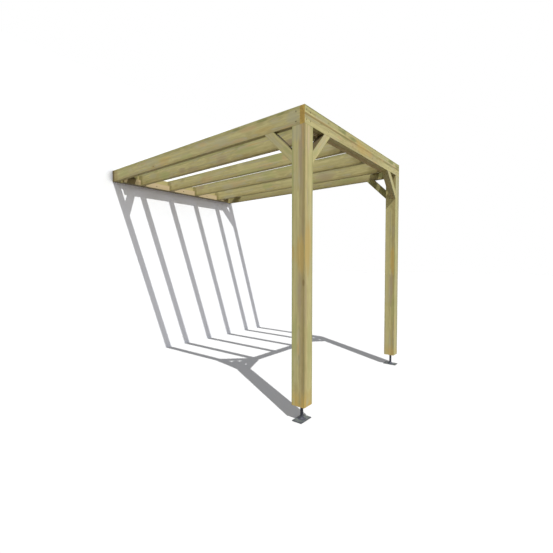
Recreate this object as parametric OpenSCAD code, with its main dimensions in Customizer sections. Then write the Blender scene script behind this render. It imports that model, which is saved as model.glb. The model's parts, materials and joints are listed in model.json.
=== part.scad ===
// Lean-to pergola: an open timber frame that is bolted to a wall along its
// back beam and stands on two posts at the front. The posts are raised off
// the ground on steel feet.
//
// Axes: +X to the right and +Y towards the wall, seen from the front, +Z up.
// The origin is the middle of the wall beam's back face.

/* [Frame] */
// Height of the top of the beams over the ground
frame_height = 2515; // [2300:5:2800]
// Width over the two side beams
frame_width = 2175; // [2100:5:2400]
// Depth from the wall to the outer face of the front beam
frame_depth = 3015; // [2400:5:3600]

/* [Beams] */
// Thickness of the front, side and wall beams
beam_t = 45; // [35:1:60]
// Height of the beams and rafters
beam_h = 145; // [120:1:180]
// Thickness of the ledgers that carry the rafters' ends
ledger_t = 45; // [35:1:60]
// Distance from the frame's side to the end of the wall ledger
ledger_inset = 115; // [90:1:140]

/* [Rafters] */
// Thickness of a rafter
rafter_t = 45; // [35:1:60]
// Clear width of the bay between a side beam and the rafter next to it
end_bay = 307.5; // [300:0.5:340]

/* [Posts] */
// Side of the square posts
post_w = 120; // [100:1:140]
// Height of the post's lower end over the ground
post_lift = 125; // [90:5:160]

/* [Knee braces] */
// Thickness of a knee brace
knee_t = 70; // [45:1:90]
// Width of a knee brace
knee_w = 70; // [60:1:95]
// Reach of a knee brace along the beam and down the post
knee_reach = 285; // [240:5:400]

/* [Corner braces] */
// Width of a corner brace, seen from above
corner_w = 70; // [45:1:80]
// Height of a corner brace
corner_h = 70; // [45:1:80]
// Reach of a corner brace along each of the two beams that it joins
corner_reach = 290; // [260:5:300]

/* [Feet] */
// Length of a foot plate
plate_l = 150; // [130:1:180]
// Width of a foot plate
plate_w = 90; // [80:1:120]
// Thickness of a foot plate
plate_t = 8; // [5:1:12]
// Diameter of the bolt holes in a foot plate
plate_hole_d = 12; // [8:1:14]
// Distance between the bolt holes along the plate
plate_hole_x = 120; // [100:1:130]
// Distance between the bolt holes across the plate
plate_hole_y = 60; // [50:1:70]
// Diameter of the steel rod that carries the post
rod_d = 26; // [20:1:32]
// Length of the rod inside the post
rod_socket = 90; // [60:5:150]
// Clearance around the rod inside the post
rod_clearance = 0.5; // [0.2:0.1:1]
// Radius of the flare where the rod meets the plate
flare_r = 22; // [10:1:25]

/* [Wall bolts] */
// Diameter of the holes for the wall bolts
wall_hole_d = 13; // [9:1:17]
// Height between the two rows of wall bolts
wall_hole_z = 80; // [60:1:90]

/* [Hidden] */

timber = [0.66, 0.61, 0.42];
timber_shade = [0.57, 0.53, 0.36];
timber_brown = [0.62, 0.53, 0.37];
steel = [0.30, 0.33, 0.36];

left = -frame_width / 2;
front = -frame_depth;
under = -beam_h / 2;
over = beam_h / 2;
ground = over - frame_height;
back = -beam_t;
ledger_face = back - ledger_t;
front_inside = front + beam_t;
front_ledger_face = front_inside + ledger_t;
ledger_top = over - corner_h;
bay_count = 3;
rafter_spacing = (frame_width - 2 * beam_t - 2 * end_bay - rafter_t) / bay_count;
diagonal = sqrt(2);
round_fn = 48;
flare_steps = 8;
through = 1;

// A box between two opposite corners
module timber_box(low, high, tone = timber)
    color(tone) translate(low) cube(high - low);

// Puts a copy of a left-hand piece on the right
module on_right() mirror([1, 0, 0]) children();

// ---- Beams and rafters

// Two rows of holes for the bolts that hold the frame to the wall: one in
// the middle bay and one in each bay beside it
module wall_bolt_holes()
    for (x = [-1, 0, 1], z = [-1, 1])
        translate([x * rafter_spacing, through, z * wall_hole_z / 2])
            rotate([90, 0, 0])
                cylinder(d = wall_hole_d, h = 2 * through - ledger_face, $fn = round_fn);

module wall_beam()
    difference() {
        timber_box([left, back, under], [-left, 0, over], timber_brown);
        wall_bolt_holes();
    }

// The ledgers fill the height that the corner braces leave
module wall_ledger()
    difference() {
        timber_box([left + ledger_inset, ledger_face, under],
                   [-left - ledger_inset, back, ledger_top], timber_brown);
        wall_bolt_holes();
    }

module front_beam()
    timber_box([left, front, under], [-left, front_inside, over]);

// The front ledger lies between the heads of the posts
module front_ledger()
    timber_box([left + post_w, front_inside, under],
               [-left - post_w, front_ledger_face, ledger_top], timber_brown);

module left_side_beam()
    timber_box([left, front_inside, under], [left + beam_t, back, over], timber_shade);

module right_side_beam() on_right() left_side_beam();

// A rafter from the front beam to the wall beam, notched over both ledgers;
// place counts spacings from the middle of the frame
module rafter(place)
    color(timber_shade) translate([place * rafter_spacing - rafter_t / 2, 0, 0])
        rotate([90, 0, 90]) linear_extrude(rafter_t)
            polygon([[front_ledger_face, under], [ledger_face, under],
                     [ledger_face, ledger_top], [back, ledger_top],
                     [back, over], [front_inside, over],
                     [front_inside, ledger_top], [front_ledger_face, ledger_top]]);

module left_outer_rafter() rafter(-1.5);
module left_inner_rafter() rafter(-0.5);
module right_inner_rafter() rafter(0.5);
module right_outer_rafter() rafter(1.5);

// ---- Posts

// The post is cut back by the beams' thickness on its two outer sides, so
// that its head stands inside the corner and the beams lie flush with it
module left_post()
    color(timber) difference() {
        union() {
            translate([left, front, ground + post_lift])
                cube([post_w, post_w, under - ground - post_lift]);
            translate([left + beam_t, front_inside, under])
                cube([post_w - beam_t, post_w - beam_t, beam_h]);
        }
        translate([left + post_w / 2, front + post_w / 2, ground + post_lift - through])
            cylinder(r = rod_d / 2 + rod_clearance,
                     h = rod_socket + rod_clearance + through, $fn = round_fn);
    }

module right_post() on_right() left_post();

// ---- Braces

// Outline of a brace at 45 degrees across the corner at the origin, from
// the X axis to the Y axis
module brace_outline(reach, width)
    let (inner = reach - width * diagonal)
        polygon([[reach, 0], [inner, 0], [0, inner], [0, reach]]);

module left_side_knee_brace()
    color(timber_shade) translate([left, front + post_w, under])
        rotate([90, 0, 90]) linear_extrude(knee_t)
            mirror([0, 1]) brace_outline(knee_reach, knee_w);

module left_front_knee_brace()
    color(timber) translate([left + post_w, front + knee_t, under])
        rotate([90, 0, 0]) linear_extrude(knee_t)
            mirror([0, 1]) brace_outline(knee_reach, knee_w);

module right_side_knee_brace() on_right() left_side_knee_brace();
module right_front_knee_brace() on_right() left_front_knee_brace();

// The corner braces lie flush with the top of the beams
module front_left_corner_brace()
    color(timber) translate([left + beam_t, front_inside, ledger_top])
        linear_extrude(corner_h) brace_outline(corner_reach, corner_w);

module wall_left_corner_brace()
    color(timber_brown) translate([left + beam_t, back, ledger_top])
        linear_extrude(corner_h) mirror([0, 1]) brace_outline(corner_reach, corner_w);

module front_right_corner_brace() on_right() front_left_corner_brace();
module wall_right_corner_brace() on_right() wall_left_corner_brace();

// ---- Feet

// Places a foot's pieces under the middle of the left post
module under_left_post()
    translate([left + post_w / 2, front + post_w / 2, ground]) children();

module foot_plate()
    color(steel) difference() {
        translate([-plate_l / 2, -plate_w / 2, 0]) cube([plate_l, plate_w, plate_t]);
        for (x = [-1, 1], y = [-1, 1])
            translate([x * plate_hole_x / 2, y * plate_hole_y / 2, -through])
                cylinder(d = plate_hole_d, h = plate_t + 2 * through, $fn = round_fn);
    }

// A round rod that stands on the plate with a hollow flare at its foot and
// ends inside the post
module foot_stem()
    let (r = rod_d / 2, top = post_lift + rod_socket,
         flare = [for (i = [0 : flare_steps]) let (a = 90 * i / flare_steps)
                  [r + flare_r * (1 - sin(a)), plate_t + flare_r * (1 - cos(a))]])
        color(steel) rotate_extrude($fn = round_fn)
            polygon(concat([[0, plate_t]], flare, [[r, top], [0, top]]));

// The long side of the left foot's plate lies along the front and that of
// the right foot's plate along the side
module left_foot_plate() under_left_post() foot_plate();
module right_foot_plate() on_right() under_left_post() rotate([0, 0, 90]) foot_plate();
module left_foot_stem() under_left_post() foot_stem();
module right_foot_stem() on_right() under_left_post() foot_stem();

wall_beam();
wall_ledger();
front_beam();
front_ledger();
left_side_beam();
right_side_beam();
left_outer_rafter();
left_inner_rafter();
right_inner_rafter();
right_outer_rafter();
left_post();
right_post();
left_side_knee_brace();
right_side_knee_brace();
left_front_knee_brace();
right_front_knee_brace();
front_left_corner_brace();
front_right_corner_brace();
wall_left_corner_brace();
wall_right_corner_brace();
left_foot_plate();
right_foot_plate();
left_foot_stem();
right_foot_stem();
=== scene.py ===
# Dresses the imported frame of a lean-to pergola: treated timber with grain,
# arrises and end grain, the screws of every joint, threaded steel feet, and a
# pale stage with a sharp sun.

import json
import math
import random

import bmesh
import bpy
from mathutils import Matrix, Vector

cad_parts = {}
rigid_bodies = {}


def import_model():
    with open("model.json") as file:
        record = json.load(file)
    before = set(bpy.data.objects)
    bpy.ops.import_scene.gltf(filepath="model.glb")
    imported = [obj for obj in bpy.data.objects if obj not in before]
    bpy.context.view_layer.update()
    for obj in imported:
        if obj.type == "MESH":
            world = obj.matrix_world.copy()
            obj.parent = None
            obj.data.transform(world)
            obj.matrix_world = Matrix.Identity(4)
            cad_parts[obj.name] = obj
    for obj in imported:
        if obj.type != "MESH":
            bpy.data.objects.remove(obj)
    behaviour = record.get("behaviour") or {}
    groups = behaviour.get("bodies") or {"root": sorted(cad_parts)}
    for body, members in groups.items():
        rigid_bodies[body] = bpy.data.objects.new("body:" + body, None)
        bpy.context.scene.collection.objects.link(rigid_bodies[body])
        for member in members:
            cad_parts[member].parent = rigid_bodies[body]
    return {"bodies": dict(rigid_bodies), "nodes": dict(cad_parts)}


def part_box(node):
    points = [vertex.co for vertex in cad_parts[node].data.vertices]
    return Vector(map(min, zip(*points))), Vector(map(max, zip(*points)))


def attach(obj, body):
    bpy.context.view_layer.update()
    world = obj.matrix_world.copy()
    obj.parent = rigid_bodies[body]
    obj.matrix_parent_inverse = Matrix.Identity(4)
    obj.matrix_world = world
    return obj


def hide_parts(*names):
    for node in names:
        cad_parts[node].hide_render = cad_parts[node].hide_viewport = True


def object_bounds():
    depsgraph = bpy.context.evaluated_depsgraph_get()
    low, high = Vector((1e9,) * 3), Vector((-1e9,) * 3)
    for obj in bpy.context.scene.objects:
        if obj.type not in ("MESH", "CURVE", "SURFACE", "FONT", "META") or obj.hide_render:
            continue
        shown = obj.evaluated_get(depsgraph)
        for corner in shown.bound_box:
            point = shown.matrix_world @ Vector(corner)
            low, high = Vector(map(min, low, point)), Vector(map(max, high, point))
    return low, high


bl_info = {
    "name": "Lean-to pergola",
    "version": (1, 0, 0),
    "blender": (4, 5, 0),
    "location": "View3D > Sidebar > Pergola",
    "description": "Treated timber, joint screws, steel feet and stage",
    "category": "Object",
}

MM = 0.001
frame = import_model()
CAD_LOW, CAD_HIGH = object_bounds()
NODES = frame["nodes"]
BODY = next(iter(frame["bodies"]))
UPRIGHT = Vector((0, 0, 1))
# What a diagonal direction has of each of its two axes
DIAGONAL = math.sqrt(0.5)


# ---- Shader maths


class Signal:
    """A socket of a finish's nodes that Python expressions work on."""

    def __init__(self, finish, socket):
        self.finish = finish
        self.socket = socket

    def maths(self, operation, *terms):
        return self.finish.node(
            "ShaderNodeMath", {"operation": operation}, dict(enumerate(terms))
        )

    def __add__(self, other):
        return self.maths("ADD", self, other)

    def __radd__(self, other):
        return self.maths("ADD", other, self)

    def __sub__(self, other):
        return self.maths("SUBTRACT", self, other)

    def __rsub__(self, other):
        return self.maths("SUBTRACT", other, self)

    def __mul__(self, other):
        return self.maths("MULTIPLY", self, other)

    def __rmul__(self, other):
        return self.maths("MULTIPLY", other, self)

    def __truediv__(self, other):
        return self.maths("DIVIDE", self, other)

    def __rtruediv__(self, other):
        return self.maths("DIVIDE", other, self)

    def __pow__(self, power):
        return self.maths("POWER", self, power)

    def __rpow__(self, base):
        return self.maths("POWER", base, self)

    def __abs__(self):
        return self.maths("ABSOLUTE", self)

    def fraction(self):
        return self.maths("FRACT", self)

    def root(self):
        return self.maths("SQRT", self)

    def larger(self, other):
        return self.maths("MAXIMUM", self, other)

    def smaller(self, other):
        return self.maths("MINIMUM", self, other)

    def turn_from(self, other):
        """Angle round the origin of the point (other, self)."""
        return self.maths("ARCTAN2", self, other)

    def sister(self, name):
        """Another output of the same node."""
        return Signal(self.finish, self.socket.node.outputs[name])

    def change(self, low, high, start, end):
        """Smoothly from start at low to end at high."""
        return self.finish.node(
            "ShaderNodeMapRange",
            {"interpolation_type": "SMOOTHSTEP"},
            {"Value": self, "From Min": low, "From Max": high, "To Min": start, "To Max": end},
        )

    def rise(self, low, high, to=1.0):
        """Smoothly from 0 at low to `to` at high."""
        return self.change(low, high, 0.0, to)

    def fall(self, low, high, to=1.0):
        """Smoothly from `to` at low to 0 at high."""
        return self.change(low, high, to, 0.0)


class Finish:
    """A material whose nodes are built from expressions."""

    def __init__(self, name, block=None):
        self.block = block or bpy.data.materials.new(name)
        self.block.use_nodes = True
        self.tree = self.block.node_tree
        self.tree.nodes.clear()

    def node(self, kind, settings=None, inputs=None, output=0):
        """A node of this type with its settings and the values or links of its inputs.

        It gives the output of that name or number.
        """
        made = self.tree.nodes.new(kind)
        for key, value in (settings or {}).items():
            if key == "stops":
                set_stops(made.color_ramp, value)
            else:
                setattr(made, key, value)
        for key, value in (inputs or {}).items():
            socket = made.inputs[key]
            if isinstance(value, Signal):
                self.tree.links.new(value.socket, socket)
            elif socket.type == "RGBA":
                socket.default_value = opaque(value)
            else:
                socket.default_value = value
        return Signal(self, made.outputs[output]) if made.outputs else None

    def vector(self, x, y, z):
        return self.node("ShaderNodeCombineXYZ", None, {0: x, 1: y, 2: z})

    def part(self, vector, letter):
        """The X, Y or Z of a vector."""
        return self.node("ShaderNodeSeparateXYZ", None, {0: vector}, letter)

    def vector_maths(self, operation, *terms, output="Vector"):
        return self.node(
            "ShaderNodeVectorMath", {"operation": operation}, dict(enumerate(terms)), output
        )

    def noise(self, vector, detail=2.0, roughness=0.5, scale=1.0):
        return self.node(
            "ShaderNodeTexNoise",
            None,
            {"Vector": vector, "Scale": scale, "Detail": detail, "Roughness": roughness},
        )

    def mix(self, share, under, over, blend="MIX"):
        """Lays a colour over another; 6, 7 and output 2 are the node's colours."""
        return self.node(
            "ShaderNodeMix",
            {"data_type": "RGBA", "blend_type": blend},
            {0: share, 6: under, 7: over},
            2,
        )

    def dimmed(self, tone, value):
        """Multiplies a colour by a value."""
        return self.mix(1.0, tone, self.vector(value, value, value), "MULTIPLY")

    def ramp(self, value, *stops):
        return self.node("ShaderNodeValToRGB", {"stops": stops}, {"Fac": value})

    def bump(self, height, distance, strength):
        return self.node(
            "ShaderNodeBump",
            None,
            {"Height": height, "Distance": distance, "Strength": strength},
        )

    def surface(self, **sockets):
        """Closes the finish with a Principled shader."""
        shader = self.node(
            "ShaderNodeBsdfPrincipled",
            None,
            {key.replace("_", " "): value for key, value in sockets.items()},
        )
        self.node("ShaderNodeOutputMaterial", None, {"Surface": shader})
        return self.block


def set_stops(ramp, stops):
    """Gives a colour ramp its (position, colour) stops."""
    while len(ramp.elements) < len(stops):
        ramp.elements.new(1.0)
    for element, (position, colour) in zip(ramp.elements, stops):
        element.position = position
        element.color = opaque(colour)


def opaque(colour):
    """A colour with full alpha."""
    return (*colour[:3], 1.0)


# ---- Settings


def colour_setting(name, description, value):
    return bpy.props.FloatVectorProperty(
        name=name,
        description=description,
        default=value,
        subtype="COLOR",
        size=3,
        min=0.0,
        max=1.0,
    )


def length_setting(name, description, value, low, high):
    return bpy.props.FloatProperty(
        name=name,
        description=description,
        default=value,
        min=low,
        max=high,
        unit="LENGTH",
        subtype="DISTANCE",
    )


class PergolaTimber(bpy.types.PropertyGroup):
    khaki: colour_setting("Khaki", "Main tone of the treated pine", (0.46, 0.405, 0.185))
    green: colour_setting("Green", "Fresh treated wood", (0.42, 0.43, 0.18))
    pale: colour_setting("Pale", "Palest wood", (0.57, 0.52, 0.25))
    grey: colour_setting("Grey", "Wood that has weathered", (0.47, 0.445, 0.275))
    tan: colour_setting("Tan", "Warm streaks of the heartwood", (0.55, 0.42, 0.21))
    blush: colour_setting("Blush", "Planed faces of the ledger", (0.63, 0.50, 0.31))
    mauve: colour_setting("Mauve", "Old heartwood", (0.41, 0.33, 0.205))
    amber: colour_setting("Amber", "Resinous heartwood", (0.58, 0.405, 0.12))
    moss: colour_setting("Moss", "Green blotches of the preservative", (0.21, 0.235, 0.08))
    late: colour_setting("Latewood", "Lines of the growth rings", (0.34, 0.25, 0.095))
    end: colour_setting("End grain", "Sawn ends", (0.51, 0.345, 0.075))
    # Also the colour of the painted shade at the ends of the rafters, the wall beam and the
    # wall ledger
    old_end: colour_setting("Old end", "Weathered sawn ends", (0.135, 0.108, 0.042))
    knot: colour_setting("Knot", "Heart of a knot", (0.16, 0.085, 0.035))
    # Colour of the painted shade on sides that look into a corner and on undersides
    damp_and_shade: colour_setting("Damp", "Wood that never dries", (0.062, 0.040, 0.016))
    arris: length_setting("Arris", "Rounding of the edges", 0.0012, 0.0, 0.01)
    ring: length_setting("Ring", "Width of a growth ring", 0.0055, 0.001, 0.02)


class PergolaFixings(bpy.types.PropertyGroup):
    plate: colour_setting("Foot plates", "Grey-green plates", (0.125, 0.142, 0.135))
    rod: colour_setting("Foot rods", "Blue-black rods", (0.062, 0.066, 0.088))
    screw: colour_setting("Screws", "Dark screw heads", (0.05, 0.042, 0.02))
    browning: colour_setting("Browning", "Browned spots on the screws", (0.11, 0.085, 0.045))
    dust: colour_setting("Dust", "Dust on the feet", (0.20, 0.19, 0.15))
    head: length_setting("Screw head", "Diameter of a frame screw", 0.012, 0.004, 0.02)
    small: length_setting("Small head", "Diameter of a brace screw", 0.009, 0.004, 0.02)
    pitch: length_setting("Thread pitch", "Pitch of the foot rods", 0.003, 0.001, 0.006)


class PergolaStage(bpy.types.PropertyGroup):
    sun: bpy.props.FloatProperty(
        name="Sun", description="Strength of the sun", default=3.75, min=0.0, max=10.0
    )
    sky: bpy.props.FloatProperty(
        name="Sky", description="Strength of the soft light", default=1.0, min=0.0, max=3.0
    )
    floor: colour_setting("Floor", "Pale floor", (0.80, 0.80, 0.80))
    lens: bpy.props.FloatProperty(
        name="Lens", description="Focal length", default=22.49, unit="CAMERA", min=10.0
    )


# ---- How a timber lies

# The direction of a timber's length, of its wide side and of its thickness
LEVEL_X = (Vector((1, 0, 0)), UPRIGHT, Vector((0, 1, 0)))
LEVEL_Y = (Vector((0, 1, 0)), UPRIGHT, Vector((1, 0, 0)))
STANDING = (UPRIGHT, Vector((1, 0, 0)), Vector((0, 1, 0)))


def leaning(over, side):
    """A knee brace that rises towards `over`; side is the direction across its plane."""
    return (over + UPRIGHT) * DIAGONAL, (over - UPRIGHT) * DIAGONAL, side


def flat_diagonal(x, y):
    """A corner brace whose side away from the corner looks towards (x, y)."""
    return Vector((x, -y, 0)) * DIAGONAL, Vector((x, y, 0)) * DIAGONAL, UPRIGHT


def reach_along(node, axis):
    """Lowest and highest place of a node along a direction."""
    places = [vertex.co.dot(axis) for vertex in NODES[node].data.vertices]
    return min(places), max(places)


def half_size(node, axis):
    """Half of what a node measures along a direction."""
    low, high = reach_along(node, axis)
    return (high - low) / 2


def brace_lie(node):
    """Length, width and thickness directions of a brace, from its name."""
    inward, right = Vector((0, 1, 0)), Vector((1, 0, 0))
    if node.endswith("side_knee_brace"):
        return leaning(inward, right)
    if node.endswith("front_knee_brace"):
        return leaning(right if node.startswith("left") else -right, inward)
    x = 1 if "left" in node else -1
    return flat_diagonal(x, 1 if node.startswith("front") else -1)


class Patch:
    """A soft stain on a timber, or a soft patch of painted shade.

    place and half hold its middle and half sizes in metres, along, across and
    through the timber; None leaves a direction out. tone names a colour
    setting, strength is its share in the middle and ragged frays its edge.
    """

    def __init__(self, place, half, tone, strength, ragged=1.5):
        self.place, self.half = place, half
        self.tone, self.strength, self.ragged = tone, strength, ragged


def band(across, half_width, tone, strength, ragged=0.9):
    """A stain along the whole length of a timber."""
    return Patch((None, across, None), (None, half_width, None), tone, strength, ragged)


def spot(along, across, half_length, half_width, tone, strength, ragged=1.5):
    """A stain, or a patch of painted shade, on the wide side of a timber."""
    place, half = (along, across, None), (half_length, half_width, None)
    return Patch(place, half, tone, strength, ragged)


POST_HALF = half_size("left_post", STANDING[1])
STAIN_DEPTH = 0.03


def on_left(place, half, tone, strength, ragged=1.5):
    """A stain on a post's left side; place and half are along and through it."""
    place = (place[0], -POST_HALF, place[1])
    half = (half[0], STAIN_DEPTH, half[1])
    return Patch(place, half, tone, strength, ragged)


def on_front(place, half, tone, strength, ragged=1.5):
    """A stain on a post's front; place and half are along and across it."""
    return Patch((*place, -POST_HALF), (*half, STAIN_DEPTH), tone, strength, ragged)


# A beam's top stays damp, its middle bleaches and its lower edge browns
BEAM_BANDS = (
    band(0.068, 0.026, "moss", 0.34),
    band(0.0, 0.035, "pale", 0.34),
    band(-0.068, 0.022, "late", 0.34),
)


def blotches(node, lie, seed, count, strength=0.6):
    """Stains scattered over a timber at random."""
    dice = random.Random(seed)
    halves = [half_size(node, axis) for axis in lie]
    depth = 0.2
    found = []
    for _ in range(count):
        tone = dice.choice(("grey", "tan", "green", "khaki", "pale", "mauve", "green"))
        place = [dice.uniform(-0.95, 0.95) * half for half in halves]
        size = (dice.uniform(0.06, 0.2), dice.uniform(0.03, 0.07), depth)
        found.append(Patch(place, size, tone, dice.uniform(0.6, 1.0) * strength))
    return tuple(found)


# ---- Timber finish


class Pine(Finish):
    """Treated pine cut from one log, with rings, fibres, streaks and knots.

    along, across and through run from the middle of the timber and halves are
    its half sizes that way. figure is the strength of the rings and knots.
    """

    def __init__(self, node, lie, seed, figure):
        super().__init__(node + "_pine")
        self.look = bpy.context.scene.pergola_timber
        self.lie = lie
        place = self.node("ShaderNodeTexCoord", output="Object")
        self.facing = self.node("ShaderNodeTexCoord", output="Normal")
        runs, self.halves = [], []
        for axis in lie:
            low, high = reach_along(node, axis)
            runs.append(self.share(place, axis) - (low + high) / 2)
            self.halves.append((high - low) / 2)
        self.along, self.across, self.through = runs

        # A post holds the pith of its log, and thinner timber lies beside it
        dice = random.Random(seed)
        pith_across = dice.uniform(-0.35, 0.35) * self.halves[1]
        pith_through = dice.choice((-1, 1)) * (self.halves[2] + dice.uniform(0.01, 0.05))
        if self.halves[2] > 0.05:
            pith_through = dice.uniform(-0.3, 0.3) * self.halves[2]
        self.start = [dice.uniform(5, 60) for _ in range(3)]

        self.knot_core, self.knot_pull = self.knots(figure)
        self.rings(pith_across, pith_through, figure)
        self.streak = self.noise(self.grain(0.5, 40.0, 11.0), detail=3.0, roughness=0.6)
        self.hue_long = self.noise(self.grain(3.2, 13.0, 17.0), detail=2.5, roughness=0.55)
        self.hue_fine = self.noise(self.grain(1.0, 46.0, 19.0))
        self.fibre = self.noise(self.grain(9.0, 520.0, 23.0))
        self.cloud = self.noise(self.grain(9.0, 26.0, 29.0), detail=3.0, roughness=0.55)
        self.damp_and_shade = self.noise(self.grain(5.0, 16.0, 37.0), detail=3.0, roughness=0.6)

    def share(self, vector, axis):
        """How far a vector goes in a direction."""
        return self.vector_maths("DOT_PRODUCT", vector, tuple(axis), output="Value")

    def grain(self, length_scale, side_scale, shift=0.0):
        """Places in the log: how many cells go to a metre along and across the grain."""
        return self.vector(
            self.along * length_scale + (self.start[0] + shift),
            self.across * side_scale + (self.start[1] + shift),
            self.through * side_scale + (self.start[2] - shift),
        )

    def knots(self, figure):
        """Hearts of the knots, one in about a third of the cells, and the wood they bend."""
        length_scale, side_scale, squeeze = 2.1, 9.0, 0.6
        cell = self.grain(length_scale, side_scale)
        centre = self.node(
            "ShaderNodeTexVoronoi", None, {"Vector": cell, "Scale": 1.0}, "Position"
        )
        chance = self.node("ShaderNodeSeparateColor", None, {0: centre.sister("Color")})
        off = self.vector_maths("SUBTRACT", cell, centre)
        # Back to metres, squeezed lengthways so that the knots are drawn out
        metres = (squeeze / length_scale, 1 / side_scale, 1 / side_scale)
        spread = self.vector_maths("MULTIPLY", off, metres)
        gap = self.vector_maths("LENGTH", spread, output="Value")
        kept = chance.rise(0.62, 0.64) * figure
        return gap.fall(0.005, 0.009) * kept, gap.fall(0.006, 0.045) * kept

    def rings(self, pith_across, pith_through, figure):
        """Growth rings round a pith that wanders along the log."""
        wander = self.noise(self.grain(0.55, 3.0, 3.0)) - 0.5
        sway = self.noise(self.grain(1.6, 9.0, 7.0)) - 0.5
        side_a = self.across - pith_across + wander * 0.05
        side_b = self.through - pith_through + sway * 0.02
        self.turn = side_b.turn_from(side_a)
        self.radius = (side_a * side_a + side_b * side_b).root() + self.knot_pull * 0.016
        ring = (self.radius / self.look.ring + sway * 1.2).fraction()
        self.latewood = ring ** 3.0 * figure

    def clear_wood(self):
        """Long streaks of several tones, with clouds of moss green."""
        look = self.look
        tone = self.ramp(
            self.hue_long * 0.62 + self.hue_fine * 0.38,
            (0.32, look.green),
            (0.42, look.khaki),
            (0.48, look.pale),
            (0.53, look.khaki),
            (0.58, look.grey),
            (0.66, look.tan),
            (0.76, look.amber),
        )
        return self.mix(self.damp_and_shade.rise(0.60, 0.74, 0.5), tone, look.moss)

    def stained(self, tone, patches):
        """Lays the stains and patches of painted shade over a tone; the grain frays their
        edges.
        """
        frayed = self.cloud - 0.5 + (self.hue_fine - 0.5) * 1.3
        runs = (self.along, self.across, self.through)
        for patch in patches:
            reach = 0.0
            for run, centre, half in zip(runs, patch.place, patch.half):
                if centre is not None:
                    reach = ((run - centre) / half) ** 2.0 + reach
            mask = (reach + frayed * patch.ragged).fall(0.1, 1.2, patch.strength)
            tone = self.mix(mask, tone, getattr(self.look, patch.tone))
        return tone

    def warm_foot(self, tone, strength):
        """Warms the lower end of a post."""
        mask = (self.along + self.halves[0]).fall(0.01, 0.17, strength)
        return self.mix(mask * self.cloud.rise(0.3, 0.6), tone, self.look.amber)

    def grained(self, tone, streaks, shade):
        """Draws the rings, streaks, fibres and knots on a tone."""
        look = self.look
        tone = self.mix(self.latewood * 0.26, tone, look.late)
        value = 0.90 + (self.streak - 0.5) * streaks + (self.fibre - 0.5) * 0.14
        tone = self.dimmed(tone, value * shade)
        tone = self.mix(self.knot_pull * 0.35, tone, look.late)
        return self.mix(self.knot_core * 0.85, tone, look.knot)

    def sawn(self, tone, end):
        """Lays end grain over the sawn ends: rings and radial drying checks."""
        look = self.look
        crack = self.noise(self.vector(self.turn * 6.0, self.start[0], self.radius * 4.0))
        wood = self.mix(self.latewood * 0.55, getattr(look, end), look.late)
        wood = self.mix(self.damp_and_shade.rise(0.42, 0.66, 0.3), wood, look.knot)
        wood = self.mix(abs(crack - 0.5).fall(0.004, 0.02, 0.5), wood, look.knot)
        at_end = abs(self.share(self.facing, self.lie[0])).rise(0.5, 0.66)
        return self.mix(at_end, tone, wood)

    def weathered(self, tone):
        """Darkens the edges, where rain and hands reach them."""
        edge = (self.halves[1] - abs(self.across)).larger(self.halves[2] - abs(self.through))
        worn = edge.fall(0.001, 0.009) * self.damp_and_shade.rise(0.35, 0.55)
        return self.mix(worn * 0.45, tone, self.look.moss)

    def damp_side(self, tone, axis, strength):
        """Paints shade on the side that looks against a direction."""
        mask = self.share(self.facing, axis).fall(-0.95, -0.5, strength)
        return self.mix(mask, tone, self.look.damp_and_shade)


def timber_finish(
    node,
    lie,
    seed,
    patches=(),
    foot=0.0,
    shade=1.0,
    figure=1.0,
    streaks=0.3,
    end="end",
    corner=0.0,
    under=0.0,
):
    """The pine of one timber with its stains, ends and weathered edges.

    foot is how warm a post's lower end is, shade scales the lightness of the
    wood, which on the rafters is painted light and on the corner braces painted
    shade, figure the strength of the growth rings and knots, streaks the contrast
    along the grain, end the tone of the sawn ends, corner how much painted shade
    falls on the side that looks into a corner, and under how much painted shade
    falls on the underside.
    """
    pine = Pine(node, lie, seed, figure)
    tone = pine.stained(pine.clear_wood(), patches)
    if foot:
        tone = pine.warm_foot(tone, foot)
    tone = pine.grained(tone, streaks, shade)
    tone = pine.sawn(tone, end)
    tone = pine.weathered(tone)
    # Painted shade on the side that looks into a corner and on the underside
    if corner:
        tone = pine.damp_side(tone, lie[1], corner)
    if under:
        tone = pine.damp_side(tone, UPRIGHT, under)
    relief = pine.latewood * 0.35 + pine.fibre * 0.5 + pine.knot_core * 0.6
    relief = relief + pine.streak * 0.3
    return pine.surface(
        Base_Color=tone,
        Roughness=0.62 + pine.fibre * 0.16 - pine.latewood * 0.08,
        Specular_IOR_Level=0.22,
        Normal=pine.bump(relief, distance=0.0005, strength=0.8),
    )


def ease_edges(piece, name, width, segments, weight):
    """Rounds the edges of a CAD piece and keeps its faces flat.

    weight is how much the larger faces count in the shading.
    """
    weld = piece.modifiers.new("Whole", "WELD")
    weld.merge_threshold = 0.01 * MM
    ease = piece.modifiers.new(name, "BEVEL")
    ease.width = width
    ease.segments = segments
    ease.limit_method = "ANGLE"
    ease.angle_limit = math.radians(40)
    ease.loop_slide = False
    even = piece.modifiers.new("Flat faces", "WEIGHTED_NORMAL")
    even.keep_sharp = False
    even.weight = weight


def dress_timber(node, lie, seed, **finish):
    """Eases the edges of a timber and gives it its own cut of pine."""
    timber = NODES[node]
    width = bpy.context.scene.pergola_timber.arris
    ease_edges(timber, "Arris", width, segments=3, weight=100)
    put_on(timber, timber_finish(node, lie, seed, **finish))


def put_on(piece, material):
    """One finish on all of a piece."""
    if not piece.data.materials:
        piece.data.materials.append(material)
    for slot in piece.material_slots:
        slot.material = material


# ---- New pieces


def new_piece(name, mesh, material):
    """Makes a piece from a bmesh; it rides with the frame."""
    data = bpy.data.meshes.new(name)
    bmesh.ops.recalc_face_normals(mesh, faces=mesh.faces)
    mesh.to_mesh(data)
    mesh.free()
    data.shade_smooth()
    data.set_sharp_from_angle(angle=math.radians(35))
    piece = bpy.data.objects.new(name, data)
    bpy.context.scene.collection.objects.link(piece)
    put_on(piece, material)
    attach(piece, BODY)
    return piece


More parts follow.
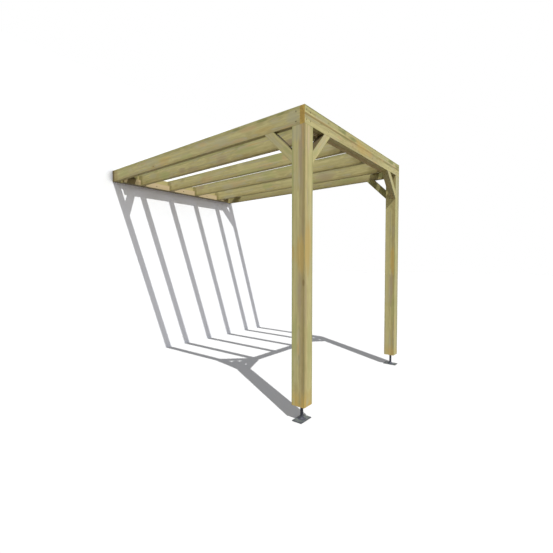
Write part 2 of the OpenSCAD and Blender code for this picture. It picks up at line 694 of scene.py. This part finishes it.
def turned(mesh, place, profile, steps, lobes=None):
    """Adds a shape turned round an axis: profile holds (radius, height) pairs.

    A radius of 0 closes the shape. lobes gives a radius factor for a row of
    the profile and an angle, for what isn't round.
    """
    rows = []
    for index, (radius, height) in enumerate(profile):
        if radius == 0:
            rows.append([mesh.verts.new(place @ Vector((0, 0, height)))])
            continue
        row = []
        for step in range(steps):
            angle = 2 * math.pi * step / steps
            r = radius * (lobes(index, angle) if lobes else 1.0)
            point = Vector((r * math.cos(angle), r * math.sin(angle), height))
            row.append(mesh.verts.new(place @ point))
        rows.append(row)
    for low, high in zip(rows, rows[1:]):
        for step in range(steps):
            after = (step + 1) % steps
            if len(low) == 1:
                mesh.faces.new((low[0], high[after], high[step]))
            elif len(high) == 1:
                mesh.faces.new((low[step], low[after], high[0]))
            else:
                mesh.faces.new((low[step], low[after], high[after], high[step]))


def facing_out(point, outward, spin):
    """Places a fixing on a face: its own Z looks along outward, turned by spin."""
    turn = Vector(outward).to_track_quat("Z", "Y").to_matrix().to_4x4()
    return Matrix.Translation(point) @ turn @ Matrix.Rotation(spin, 4, "Z")


def screw_head(mesh, place, diameter):
    """A countersunk head with a six-lobed recess, a hair proud of the wood."""
    radius = diameter / 2
    recess = 0.46 * radius
    hidden, floor, rim, lip = -1.2 * MM, -0.9 * MM, 0.25 * MM, 0.3 * MM
    profile = [
        (0, hidden),
        (radius * 0.80, hidden),
        (radius, 0.0),
        (radius * 0.96, rim),
        (recess, lip),
        (recess * 0.92, floor),
        (0, floor - 0.1 * MM),
    ]
    recess_rows = (4, 5)

    def lobes(row, angle):
        return 1.0 + 0.16 * math.cos(6 * angle) if row in recess_rows else 1.0

    turned(mesh, place, profile, steps=24, lobes=lobes)


def put_screws(name, places, diameter):
    """All the screws of one kind of joint, as one piece."""
    dice = random.Random(name)
    mesh = bmesh.new()
    for point, outward in places:
        screw_head(mesh, facing_out(point, outward, dice.uniform(0, 1)), diameter)
    new_piece(name, mesh, shared("browned_screws", screw_finish))


def shared(name, build):
    """A finish for several pieces, built the first time that it is asked for."""
    return bpy.data.materials.get(name) or build(Finish(name))


def screw_finish(f):
    """Dark screw heads with browned spots."""
    look = bpy.context.scene.pergola_fixings
    place = f.node("ShaderNodeTexCoord", output="Object")
    spots = f.noise(place, detail=3.0, scale=420.0)
    return f.surface(
        Base_Color=f.mix(spots.rise(0.45, 0.65, 0.7), look.screw, look.browning),
        Roughness=0.5 + spots * 0.3,
        Metallic=spots.fall(0.4, 0.7, 0.4),
        Specular_IOR_Level=0.3,
        Normal=f.bump(spots, distance=0.0001, strength=0.5),
    )


def coated_steel(f, tone, dusty):
    """Dark coated steel: soft flakes, dust and fine grit."""
    place = f.node("ShaderNodeTexCoord", output="Object")
    flakes = f.node("ShaderNodeTexVoronoi", None, {"Vector": place, "Scale": 150.0}, "Color")
    flake = f.node("ShaderNodeSeparateColor", None, {0: flakes})
    dust = f.noise(place, detail=4.0, scale=38.0)
    grit = f.noise(place, scale=900.0)
    tone = f.dimmed(tone, 0.82 + flake * 0.2 + (dust - 0.5) * 0.5)
    look = bpy.context.scene.pergola_fixings
    return f.surface(
        Base_Color=f.mix(dust.rise(0.56, 0.75, dusty), tone, look.dust),
        Roughness=0.50 + dust * 0.22,
        Metallic=0.1,
        Specular_IOR_Level=0.35,
        Normal=f.bump(grit + flake * 0.4, distance=0.0002, strength=0.5),
    )


def rod_finish(f):
    """The coat of the foot rods."""
    return coated_steel(f, bpy.context.scene.pergola_fixings.rod, dusty=0.15)


def plate_finish(side):
    """The coat of a foot plate, darker along its sheared edges."""
    look = bpy.context.scene.pergola_fixings
    f = Finish(side + "_foot_plate_coat")
    low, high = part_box(side + "_foot_plate")
    middle, half = (low + high) / 2, (high - low) / 2
    place = f.node("ShaderNodeTexCoord", output="Object")
    gap_x = half.x - abs(f.part(place, "X") - middle.x)
    gap_y = half.y - abs(f.part(place, "Y") - middle.y)
    tone = f.mix(gap_x.smaller(gap_y).fall(0.001, 0.012, 0.7), look.plate, look.rod)
    return coated_steel(f, tone, dusty=0.3)


# ---- Operators


class PERGOLA_OT_front_beam(bpy.types.Operator):
    """Grain, stains and arrises of the front beam"""

    bl_idname = "pergola.front_beam"
    bl_label = "Front beam"

    def execute(self, context):
        dress_timber(
            "front_beam",
            LEVEL_X,
            seed=31,
            patches=(
                band(-0.052, 0.024, "pale", 0.4),
                band(0.046, 0.030, "green", 0.4),
                band(0.070, 0.006, "moss", 0.65, 0.4),
                band(0.005, 0.011, "late", 0.75, 0.6),
                band(0.004, 0.009, "old_end", 0.35, 1.2),
                spot(-0.02, 0.0, 0.55, 0.300, "late", 0.25),
                spot(-0.72, 0.066, 0.40, 0.007, "old_end", 0.5),
                spot(-0.86, 0.055, 0.14, 0.014, "green", 0.6),
                spot(-0.83, 0.010, 0.24, 0.008, "late", 0.5),
                spot(-0.45, 0.004, 0.13, 0.010, "moss", 0.55),
                spot(-0.98, 0.036, 0.10, 0.008, "late", 0.5),
                spot(-0.49, 0.044, 0.13, 0.028, "moss", 0.85, 2.6),
                spot(-0.25, 0.034, 0.12, 0.020, "moss", 0.7, 2.6),
                spot(-0.51, -0.028, 0.06, 0.016, "tan", 0.7),
                spot(-0.22, -0.020, 0.07, 0.018, "tan", 0.6),
                spot(-0.03, -0.004, 0.14, 0.060, "amber", 0.55),
                spot(-0.12, 0.038, 0.06, 0.020, "amber", 0.45),
                spot(0.16, -0.012, 0.10, 0.034, "amber", 0.5),
                spot(0.33, 0.010, 0.12, 0.018, "green", 0.6),
                spot(0.52, 0.0, 0.05, 0.020, "tan", 0.5),
                spot(0.79, 0.048, 0.10, 0.026, "moss", 0.9, 2.4),
                spot(1.0, 0.030, 0.09, 0.034, "moss", 0.75, 2.4),
                spot(0.72, -0.002, 0.24, 0.012, "moss", 0.55),
                spot(0.75, -0.042, 0.36, 0.032, "pale", 0.75),
                spot(-0.80, -0.046, 0.26, 0.020, "pale", 0.5),
            ),
            streaks=0.7,
        )
        return {"FINISHED"}


class PERGOLA_OT_side_beams(bpy.types.Operator):
    """Grain, stains and arrises of the two side beams"""

    bl_idname = "pergola.side_beams"
    bl_label = "Side beams"

    def execute(self, context):
        dress_timber(
            "left_side_beam",
            LEVEL_Y,
            seed=7,
            patches=BEAM_BANDS
            + (
                spot(-1.39, 0.005, 0.08, 0.050, "grey", 0.95),
                spot(-1.27, 0.056, 0.05, 0.012, "moss", 0.6),
                spot(-1.08, 0.056, 0.07, 0.014, "moss", 0.6),
                spot(-1.10, -0.03, 0.12, 0.030, "amber", 0.35),
                spot(-0.92, 0.020, 0.10, 0.030, "tan", 0.75),
                spot(-0.77, 0.052, 0.05, 0.014, "moss", 0.6),
                spot(-0.57, -0.002, 0.13, 0.045, "grey", 0.75),
                spot(-0.50, -0.030, 0.06, 0.016, "tan", 0.5),
                spot(-0.05, -0.036, 0.13, 0.030, "green", 0.6),
                spot(0.33, -0.010, 0.12, 0.055, "amber", 0.5),
                spot(0.60, 0.010, 0.15, 0.050, "grey", 0.6),
                spot(0.79, 0.018, 0.05, 0.012, "green", 0.8),
                spot(1.20, 0.0, 0.16, 0.050, "green", 0.6),
                spot(1.47, 0.0, 0.11, 0.200, "late", 0.6),
            ),
            streaks=0.45,
        )
        dress_timber(
            "right_side_beam",
            LEVEL_Y,
            seed=12,
            patches=BEAM_BANDS
            + blotches("right_side_beam", LEVEL_Y, seed=112, count=6)
            + (spot(-1.36, -0.02, 0.12, 0.06, "moss", 0.7, 2.6),),
        )
        return {"FINISHED"}


class PERGOLA_OT_rafters(bpy.types.Operator):
    """Grain, stains and arrises of the four rafters"""

    bl_idname = "pergola.rafters"
    bl_label = "Rafters"

    def execute(self, context):
        # How much painted shade darkens the rafter where it meets the front beam
        sides = {"left_outer": 0.75, "left_inner": 0.4, "right_inner": 0.4, "right_outer": 0.4}
        for index, (side, front_shade) in enumerate(sides.items()):
            node = side + "_rafter"
            patches = BEAM_BANDS + (
                *blotches(node, LEVEL_Y, seed=120 + index, count=10, strength=0.85),
                # Spots at both ends paint shade where the rafter meets the wall ledger and the
                # front beam
                spot(1.42, -0.02, 0.06, 0.140, "old_end", 0.5),
                spot(-1.42, -0.01, 0.16, 0.200, "old_end", front_shade),
            )
            # shade=1.12 makes the rafters lighter: painted light
            dress_timber(
                node, LEVEL_Y, seed=20 + index, patches=patches, shade=1.12, streaks=0.5
            )
        return {"FINISHED"}


class PERGOLA_OT_ledgers(bpy.types.Operator):
    """Grain and arrises of the wall beam and of the two ledgers"""

    bl_idname = "pergola.ledgers"
    bl_label = "Wall beam and ledgers"

    def execute(self, context):
        # under and ends set how much painted shade falls on the underside and on the two ends
        for node, seed, tone, under, ends in (
            ("wall_beam", 41, "khaki", 0.85, 0.4),
            ("wall_ledger", 43, "blush", 0.85, 0.6),
            ("front_ledger", 45, "tan", 0.1, None),
        ):
            patches = (band(0.0, 0.3, tone, 0.85, 0.0),)
            if ends:
                patches += tuple(
                    Patch((along, None, None), (0.15, None, None), "old_end", ends)
                    for along in (-0.88, 0.88)
                )
            dress_timber(
                node,
                LEVEL_X,
                seed,
                patches=patches,
                figure=0.3,
                streaks=0.2,
                end="old_end",
                under=under,
            )
        return {"FINISHED"}


class PERGOLA_OT_posts(bpy.types.Operator):
    """Grain, stains and arrises of the two posts"""

    bl_idname = "pergola.posts"
    bl_label = "Posts"

    def execute(self, context):
        # Across is +X and through +Y, so the front corner of the left post is
        # at low values of both
        dress_timber(
            "left_post",
            STANDING,
            seed=52,
            patches=(
                on_left((None, -0.036), (None, 0.030), "mauve", 0.4, 0.7),
                on_left((None, -0.034), (None, 0.026), "late", 0.22, 0.7),
                on_left((None, 0.020), (None, 0.026), "pale", 0.65, 0.7),
                on_left((None, 0.052), (None, 0.010), "green", 0.8, 0.5),
                on_front((None, -0.056), (None, 0.016), "late", 0.5, 0.7),
                on_front((None, -0.03), (None, 0.016), "tan", 0.35, 0.7),
                on_front((None, 0.014), (None, 0.022), "pale", 0.55, 0.7),
                on_front((None, 0.056), (None, 0.010), "green", 0.6, 0.5),
                on_front((0.95, 0.0), (0.14, 0.02), "blush", 0.7),
                on_left((0.85, -0.02), (0.30, 0.018), "mauve", 0.9, 0.9),
                on_left((0.99, 0.02), (0.08, 0.05), "grey", 0.9),
                on_front((0.12, -0.01), (0.26, 0.044), "amber", 0.7),
                on_left((0.03, -0.02), (0.17, 0.052), "amber", 0.6),
                on_left((0.05, 0.05), (0.08, 0.02), "amber", 0.6),
                on_left((-0.30, -0.012), (0.25, 0.020), "mauve", 0.7),
                on_front((-0.33, -0.040), (0.24, 0.022), "mauve", 0.5),
                Patch((-0.19, -POST_HALF, -0.054), (0.03, 0.012, 0.012), "knot", 0.5),
                on_front((-0.72, 0.01), (0.22, 0.03), "green", 0.5),
                on_left((-0.62, 0.03), (0.2, 0.02), "green", 0.7),
            ),
            foot=1.0,
            streaks=0.5,
            shade=1.03,
        )
        dress_timber(
            "right_post",
            STANDING,
            seed=57,
            patches=(
                on_left((None, -0.040), (None, 0.022), "late", 0.45, 0.7),
                on_left((None, 0.030), (None, 0.028), "pale", 0.65, 0.7),
                on_front((None, -0.03), (None, 0.03), "green", 0.45, 0.7),
                on_front((None, 0.022), (None, 0.022), "grey", 0.75, 0.7),
                on_front((None, 0.048), (None, 0.024), "moss", 0.42, 0.7),
                on_front((None, 0.028), (None, 0.007), "late", 0.35, 0.5),
                on_front((0.95, 0.0), (0.16, 0.05), "grey", 0.8),
                on_front((0.05, -0.02), (0.12, 0.03), "green", 0.8),
                on_left((0.0, -0.03), (0.2, 0.03), "amber", 0.75),
                on_left((-0.35, -0.02), (0.25, 0.02), "mauve", 0.8),
                on_front((-0.6, -0.03), (0.2, 0.03), "green", 0.6),
                on_left((-0.62, -0.04), (0.2, 0.02), "green", 0.5),
            ),
            foot=0.6,
            streaks=0.5,
            shade=1.03,
        )
        return {"FINISHED"}


class PERGOLA_OT_knee_braces(bpy.types.Operator):
    """Grain and arrises of the four knee braces"""

    bl_idname = "pergola.knee_braces"
    bl_label = "Knee braces"

    def execute(self, context):
        for index, node in enumerate(
            (
                "left_side_knee_brace",
                "right_side_knee_brace",
                "left_front_knee_brace",
                "right_front_knee_brace",
            )
        ):
            lie = brace_lie(node)
            patches = (
                spot(0.0, 0.0, 0.3, 0.05, "pale", 0.4),
                spot(0.05, 0.01, 0.08, 0.02, "grey", 0.6),
                spot(-0.09, -0.01, 0.07, 0.02, "green", 0.6),
            )
            if node == "right_side_knee_brace":
                patches += (spot(0.0, 0.0, 0.3, 0.1, "moss", 0.5, 3.0),)
            # Painted shade on the side of each brace that looks into its corner
            damp_and_shade = 0.75 if "side" in node else 0.88
            dress_timber(node, lie, seed=60 + index, patches=patches, corner=damp_and_shade)
        return {"FINISHED"}


class PERGOLA_OT_corner_braces(bpy.types.Operator):
    """Grain and arrises of the four corner braces"""

    bl_idname = "pergola.corner_braces"
    bl_label = "Corner braces"

    def execute(self, context):
        for index, node in enumerate(
            (
                "front_left_corner_brace",
                "front_right_corner_brace",
                "wall_left_corner_brace",
                "wall_right_corner_brace",
            )
        ):
            lie = brace_lie(node)
            # The corner braces are darker all over, on the side that looks into their corner
            # and underneath: painted shade
            dress_timber(
                node,
                lie,
                seed=70 + index,
                patches=blotches(node, lie, seed=170 + index, count=4),
                shade=0.85,
                corner=0.8,
                under=0.85,
            )
        return {"FINISHED"}


# In mm: how far the corner screws are from the front beam's end and top, and
# how high the rafters' screws are over its underside
CORNER_SCREWS = ((27, 34), (84, 41), (27, 110), (84, 109))
RAFTER_SCREWS = (36, 109)


def rafter_places():
    """The middles of the rafters, from left to right."""
    boxes = [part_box(name) for name in NODES if name.endswith("_rafter")]
    return sorted((low.x + high.x) / 2 for low, high in boxes)


class PERGOLA_OT_frame_screws(bpy.types.Operator):
    """Screws through the front, side and wall beams"""

    bl_idname = "pergola.frame_screws"
    bl_label = "Frame screws"

    def execute(self, context):
        sizes = context.scene.pergola_fixings
        low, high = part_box("front_beam")
        front, top, bottom = low.y, high.z, low.z
        outwards = Vector((0, -1, 0))
        places = [
            (Vector((end + side * gap * MM, front, top - drop * MM)), outwards)
            for side, end in ((1, low.x), (-1, high.x))
            for gap, drop in CORNER_SCREWS
        ]
        put_screws("front_beam_screws", places, sizes.head)
        places = [
            (Vector((x, front, bottom + height * MM)), outwards)
            for x in rafter_places()
            for height in RAFTER_SCREWS
        ]
        put_screws("rafter_end_screws", places, sizes.small)

        top_drop, bottom_rise = 36 * MM, 31 * MM
        post_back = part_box("left_post")[1].y
        for name, outward in (("left", -1), ("right", 1)):
            low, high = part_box(name + "_side_beam")
            x = low.x if outward < 0 else high.x
            y = (low.y + post_back) / 2
            places = [
                (Vector((x, y, z)), Vector((outward, 0, 0)))
                for z in (top - top_drop, bottom + bottom_rise)
            ]
            put_screws(name + "_side_beam_screws", places, sizes.head)

        low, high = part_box("wall_beam")
        end_gap, drops = 22 * MM, (26 * MM, 58 * MM)
        places = [
            (Vector((x, high.y, top - drop)), Vector((0, 1, 0)))
            for x in (low.x + end_gap, high.x - end_gap, *rafter_places())
            for drop in drops
        ]
        put_screws("wall_beam_screws", places, sizes.head)
        return {"FINISHED"}


class PERGOLA_OT_brace_screws(bpy.types.Operator):
    """Two screws at both ends of every brace, on the side away from its corner"""

    bl_idname = "pergola.brace_screws"
    bl_label = "Brace screws"

    def execute(self, context):
        sizes = context.scene.pergola_fixings
        end_gap, shares = 46 * MM, (0.3, 0.7)
        for node in sorted(name for name in NODES if name.endswith("_brace")):
            along, across, through = brace_lie(node)
            a_low, a_high = reach_along(node, along)
            face = reach_along(node, across)[1]
            t_low, t_high = reach_along(node, through)
            places = []
            for a in (a_low + end_gap, a_high - end_gap):
                for share in shares:
                    t = t_low + (t_high - t_low) * share
                    places.append((along * a + across * face + through * t, across))
            put_screws(node + "_screws", places, sizes.small)
        return {"FINISHED"}


class PERGOLA_OT_feet(bpy.types.Operator):
    """Threaded rods with a welded flare, washers and eased foot plates"""

    bl_idname = "pergola.feet"
    bl_label = "Feet"

    def execute(self, context):
        sizes = context.scene.pergola_fixings
        for side in ("left", "right"):
            plate = NODES[side + "_foot_plate"]
            ease_edges(plate, "Sheared edge", 1.2 * MM, segments=2, weight=50)
            put_on(plate, plate_finish(side))

            low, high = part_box(side + "_foot_stem")
            centre = (low + high) / 2
            post_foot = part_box(side + "_post")[0].z
            foot = Matrix.Translation((centre.x, centre.y, 0))
            mesh = bmesh.new()
            threaded_rod(mesh, foot, low.z, high.z, sizes.pitch)
            washer(mesh, foot, post_foot)
            coat = shared("foot_rod_coat", rod_finish)
            rod = new_piece(side + "_foot_rod", mesh, coat)
            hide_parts(side + "_foot_stem")
        return {"FINISHED"}


# The rod, the flare at its foot and the plain neck over the flare
ROD_RADIUS = 13 * MM
FLARE = 22 * MM
NECK = 5 * MM


def threaded_rod(mesh, foot, bottom, top, pitch):
    """A flare on the plate, a plain neck, and a helical thread up into the post."""
    depth, point = 0.9 * MM, 2 * MM
    start = bottom + FLARE + NECK
    flare_steps, rows_per_turn = 10, 6
    profile = [(0, bottom)]
    for index in range(flare_steps + 1):
        angle = 0.5 * math.pi * index / flare_steps
        radius = ROD_RADIUS + FLARE * (1 - math.sin(angle))
        profile.append((radius, bottom + FLARE * (1 - math.cos(angle))))
    thread_rows = int((top - point - start) / pitch * rows_per_turn)
    first = len(profile)
    for index in range(thread_rows):
        profile.append((ROD_RADIUS, start + pitch * index / rows_per_turn))
    profile += [(ROD_RADIUS - 2 * depth, top), (0, top)]

    def thread(row, angle):
        if not first <= row < first + thread_rows:
            return 1.0
        phase = ((row - first) / rows_per_turn - angle / (2 * math.pi)) % 1.0
        return 1.0 - depth / ROD_RADIUS * abs(2 * phase - 1)

    turned(mesh, foot, profile, steps=32, lobes=thread)


def washer(mesh, foot, under):
    """A flat washer round the rod, against the lower end of the post."""
    outer, inner, thick, ease = 24 * MM, 13.2 * MM, 2.5 * MM, 0.4 * MM
    profile = [
        (inner, under - thick),
        (outer - ease, under - thick),
        (outer, under - thick + ease),
        (outer, under - ease),
        (outer - ease, under),
        (inner, under),
        (inner, under - thick),
    ]
    turned(mesh, foot, profile, steps=40)


class PERGOLA_OT_stage(bpy.types.Operator):
    """Floor, backdrop, sun, soft light and camera"""

    bl_idname = "pergola.stage"
    bl_label = "Stage"

    def execute(self, context):
        scene = context.scene
        look = scene.pergola_stage
        make_floor(look)
        make_backdrop()
        make_sky(scene, look)
        make_sun(scene, look)
        make_camera(scene, look)
        scene.view_settings.view_transform = "Standard"
        return {"FINISHED"}


def seen_share(f):
    """1 for what the camera sees, directly or in metal and glass."""
    camera = f.node("ShaderNodeLightPath", output="Is Camera Ray")
    return camera.larger(camera.sister("Is Glossy Ray")).larger(
        camera.sister("Is Transmission Ray")
    )


def sheet_object(name, corners, material):
    """A flat piece of the stage."""
    mesh = bmesh.new()
    mesh.faces.new([mesh.verts.new(corner) for corner in corners])
    data = bpy.data.meshes.new(name)
    mesh.to_mesh(data)
    mesh.free()
    made = bpy.data.objects.new(name, data)
    bpy.context.scene.collection.objects.link(made)
    data.materials.append(material)
    return made


def make_floor(look):
    """A pale floor that throws only a little warm light back up."""
    f = Finish("pale_floor")
    plain = f.node("ShaderNodeBsdfDiffuse", None, {"Color": look.floor})
    dull = f.node("ShaderNodeBsdfDiffuse", None, {"Color": (0.20, 0.175, 0.125)})
    shown = f.node("ShaderNodeMixShader", None, {0: seen_share(f), 1: dull, 2: plain})
    f.node("ShaderNodeOutputMaterial", None, {"Surface": shown})
    size, level = 45.0, CAD_LOW.z - 0.5 * MM
    sheet_object(
        "floor",
        [(x * size, y * size, level) for x, y in ((-1, -1), (1, -1), (1, 1), (-1, 1))],
        f.block,
    )


def backdrop_finish():
    """White with a painted soft shade beside the ends of the wall beam; clear from behind."""
    f = Finish("white_backdrop")

    def paint(tone, glow):
        plain = f.node("ShaderNodeBsdfDiffuse", None, {"Color": tone})
        lit = f.node("ShaderNodeEmission", None, {"Color": glow})
        return f.node("ShaderNodeAddShader", None, {0: plain, 1: lit})

    shade_reach = 0.16
    open_share = f.node(
        "ShaderNodeAmbientOcclusion", {"samples": 8}, {"Distance": shade_reach}, "AO"
    )
    place = f.node("ShaderNodeTexCoord", output="Object")
    beam_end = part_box("wall_beam")[1].x
    beside = abs(f.part(place, "X")).rise(beam_end - 0.02, beam_end)
    beside = beside * f.part(place, "Z").rise(-0.12, -0.07)
    white = paint((1.02, 1.04, 1.05), (0.0, 0.004, 0.04))
    shaded = paint((0.22, 0.22, 0.23), (0.05, 0.052, 0.06))
    # Ambient occlusion mixes in the darker copy: painted shade on the sheet beside the wall
    # beam's ends
    share = open_share.fall(0.35, 0.95) * beside
    painted = f.node("ShaderNodeMixShader", None, {0: share, 1: white, 2: shaded})
    clear = f.node("ShaderNodeBsdfTransparent")
    rear = f.node("ShaderNodeNewGeometry", output="Backfacing")
    shown = f.node("ShaderNodeMixShader", None, {0: rear, 1: painted, 2: clear})
    f.node("ShaderNodeOutputMaterial", None, {"Surface": shown})
    return f.block


def make_backdrop():
    """A white sheet behind the frame; it lights nothing and hides nothing."""
    gap, rise, width = 1 * MM, 1.2, 3.2
    plane = CAD_HIGH.y + gap
    low, high = CAD_LOW.z - gap, CAD_HIGH.z + rise
    corners = ((-width, low), (width, low), (width, high), (-width, high))
    backdrop = sheet_object(
        "backdrop", [(x, plane, z) for x, z in corners], backdrop_finish()
    )
    backdrop.visible_diffuse = False
    backdrop.visible_glossy = False
    backdrop.visible_transmission = False
    backdrop.visible_shadow = False


def make_sky(scene, look):
    """A soft ring of light round the horizon; white where it is seen."""
    scene.world = bpy.data.worlds.new("soft_ring")
    f = Finish("soft_ring", scene.world)
    upward = f.part(f.node("ShaderNodeTexCoord", output="Generated"), "Z")
    # From straight down to straight up
    level = f.ramp(
        upward * 0.5 + 0.5,
        (0.0, (0.19, 0.165, 0.115)),
        (0.47, (0.22, 0.195, 0.15)),
        (0.50, (0.92, 0.93, 0.95)),
        (0.70, (0.80, 0.82, 0.86)),
        (0.86, (0.10, 0.10, 0.11)),
    )
    soft = f.node("ShaderNodeBackground", None, {"Color": level, "Strength": look.sky})
    white = f.node("ShaderNodeBackground", None, {"Color": (1.0, 1.0, 1.0), "Strength": 1.0})
    shown = f.node("ShaderNodeMixShader", None, {0: seen_share(f), 1: soft, 2: white})
    f.node("ShaderNodeOutputWorld", None, {"Surface": shown})


# The way in which the sunlight travels
SUN_TRAVEL = (0.537, 1.0, -1.595)


def make_sun(scene, look):
    """A sharp sun that shines from the front and a little from the left."""
    lamp = bpy.data.lights.new("sun", "SUN")
    lamp.energy = look.sun
    lamp.angle = math.radians(0.4)
    lamp.color = (1.0, 0.995, 0.98)
    made = bpy.data.objects.new("sun", lamp)
    made.rotation_mode = "QUATERNION"
    made.rotation_quaternion = (-Vector(SUN_TRAVEL)).to_track_quat("Z", "Y")
    scene.collection.objects.link(made)


# The camera's place in metres, its turn from +Y towards +X, its tilt over the
# horizon, its roll and the sideways shift of its lens
CAMERA_PLACE = (-3.3824, -4.4983, -1.1633)
CAMERA_TURN = math.radians(50.484)
CAMERA_TILT = math.radians(-2.096)
CAMERA_ROLL = math.radians(-0.079)
CAMERA_SHIFT = 0.0224


def make_camera(scene, look):
    """A camera left of the frame and in front of it, at half the posts' height."""
    lens = bpy.data.cameras.new("camera")
    lens.sensor_width = 36.0
    lens.lens = look.lens
    lens.shift_x = CAMERA_SHIFT
    lens.clip_end = 200.0
    made = bpy.data.objects.new("camera", lens)
    ahead = Vector(
        (
            math.sin(CAMERA_TURN) * math.cos(CAMERA_TILT),
            math.cos(CAMERA_TURN) * math.cos(CAMERA_TILT),
            math.sin(CAMERA_TILT),
        )
    )
    right = Vector((math.cos(CAMERA_TURN), -math.sin(CAMERA_TURN), 0))
    above = right.cross(ahead)
    side = right * math.cos(CAMERA_ROLL) + above * math.sin(CAMERA_ROLL)
    top = above * math.cos(CAMERA_ROLL) - right * math.sin(CAMERA_ROLL)
    turn = Matrix((side, top, -ahead)).transposed().to_4x4()
    made.matrix_world = Matrix.Translation(CAMERA_PLACE) @ turn
    scene.collection.objects.link(made)
    scene.camera = made


# ---- Add-on

STEPS = (
    PERGOLA_OT_front_beam,
    PERGOLA_OT_side_beams,
    PERGOLA_OT_rafters,
    PERGOLA_OT_ledgers,
    PERGOLA_OT_posts,
    PERGOLA_OT_knee_braces,
    PERGOLA_OT_corner_braces,
    PERGOLA_OT_frame_screws,
    PERGOLA_OT_brace_screws,
    PERGOLA_OT_feet,
    PERGOLA_OT_stage,
)
SETTINGS = {
    "pergola_timber": PergolaTimber,
    "pergola_fixings": PergolaFixings,
    "pergola_stage": PergolaStage,
}


class PERGOLA_PT_panel(bpy.types.Panel):
    """The pergola's steps and settings"""

    bl_label = "Lean-to pergola"
    bl_space_type = "VIEW_3D"
    bl_region_type = "UI"
    bl_category = "Pergola"

    def draw(self, context):
        for step in STEPS:
            self.layout.operator(step.bl_idname)
        for name, group in SETTINGS.items():
            box = self.layout.box()
            for key in group.__annotations__:
                box.prop(getattr(context.scene, name), key)


CLASSES = (*SETTINGS.values(), *STEPS, PERGOLA_PT_panel)


def register():
    for each in CLASSES:
        bpy.utils.register_class(each)
    for name, group in SETTINGS.items():
        setattr(bpy.types.Scene, name, bpy.props.PointerProperty(type=group))


def unregister():
    for name in SETTINGS:
        delattr(bpy.types.Scene, name)
    for each in reversed(CLASSES):
        bpy.utils.unregister_class(each)


def main():
    register()
    for step in STEPS:
        group, call = step.bl_idname.split(".")
        getattr(getattr(bpy.ops, group), call)()


if __name__ == "__main__":
    main()
